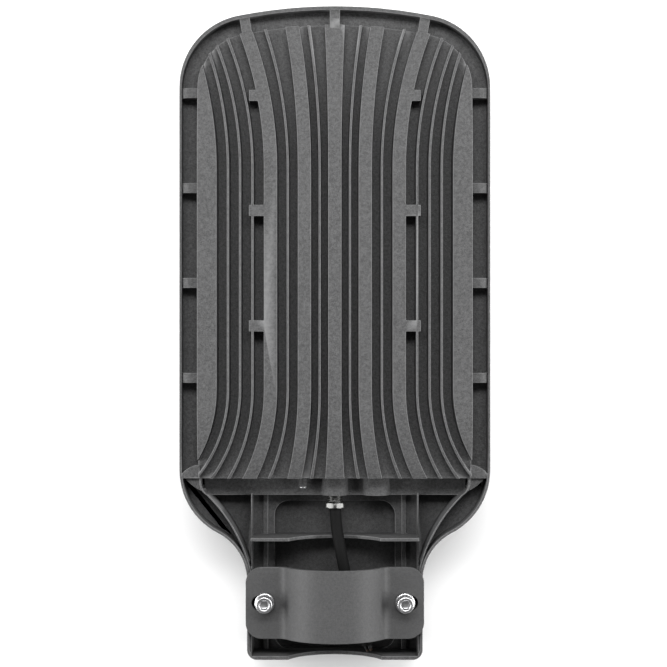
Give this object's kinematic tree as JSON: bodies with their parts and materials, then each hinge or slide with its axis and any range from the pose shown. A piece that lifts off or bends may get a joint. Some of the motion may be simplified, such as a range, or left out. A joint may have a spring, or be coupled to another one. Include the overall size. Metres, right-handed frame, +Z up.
{
  "type": "led street light head",
  "caption": "Flat cast street light head with a finned sky side, a glass window below, a cable gland and a bolted strap clamp for a pole.",
  "frame": {"origin": "on the flat underside of the cover frame, below the middle of the whole length and width", "axes": "+Z up to the finned sky side, +Y to the round head end, -Y to the pole end"},
  "size_m": [0.1866, 0.3924, 0.066],
  "materials": {
    "housing_paint": "fine textured powder coat on cast aluminium",
    "strap_paint": "satin powder coat",
    "tempered_glass": "clear",
    "seal_rubber": "matt",
    "pad_rubber": "matt",
    "board_white": "white solder mask",
    "lens_clear": "clear",
    "block_plastic": "matt",
    "driver_case": "potted case",
    "nickel": "nickel plated",
    "cable_sheath": "satin sheath",
    "core_insulation": "satin",
    "stainless": "stainless"
  },
  "bodies": {
    "root": {"board_screw_1": "stainless", "board_screw_2": "stainless", "board_screw_3": "stainless", "board_screw_4": "stainless", "board_screw_5": "stainless", "board_screw_6": "stainless", "clamp_bolt_left": "stainless", "clamp_bolt_right": "stainless", "clamp_strap": "strap_paint", "cover_frame": "housing_paint", "cover_glass": "tempered_glass", "cover_screw_1": "stainless", "cover_screw_2": "stainless", "cover_screw_3": "stainless", "cover_screw_4": "stainless", "cover_screw_5": "stainless", "cover_screw_6": "stainless", "cover_screw_7": "stainless", "cover_screw_8": "stainless", "driver": "driver_case", "driver_lead_live": "core_insulation", "driver_lead_neutral": "core_insulation", "driver_screw_left": "stainless", "driver_screw_right": "stainless", "earth_screw": "stainless", "entry_plug": "nickel", "flat_washer_left": "stainless", "flat_washer_right": "stainless", "gland_body": "nickel", "gland_nut": "nickel", "gland_seal": "seal_rubber", "glass_gasket": "seal_rubber", "housing": "housing_paint", "housing_gasket": "seal_rubber", "led_board": "board_white", "led_connector": "block_plastic", "led_lead_minus": "core_insulation", "led_lead_plus": "core_insulation", "lens_array": "lens_clear", "mains_cable": "cable_sheath", "mains_core_earth": "core_insulation", "mains_core_live": "core_insulation", "mains_core_neutral": "core_insulation", "spring_washer_left": "stainless", "spring_washer_right": "stainless", "tail_core_earth": "core_insulation", "tail_core_live": "core_insulation", "tail_core_neutral": "core_insulation", "terminal_block": "block_plastic", "thermal_pad": "pad_rubber"}
  },
  "joints": []
}
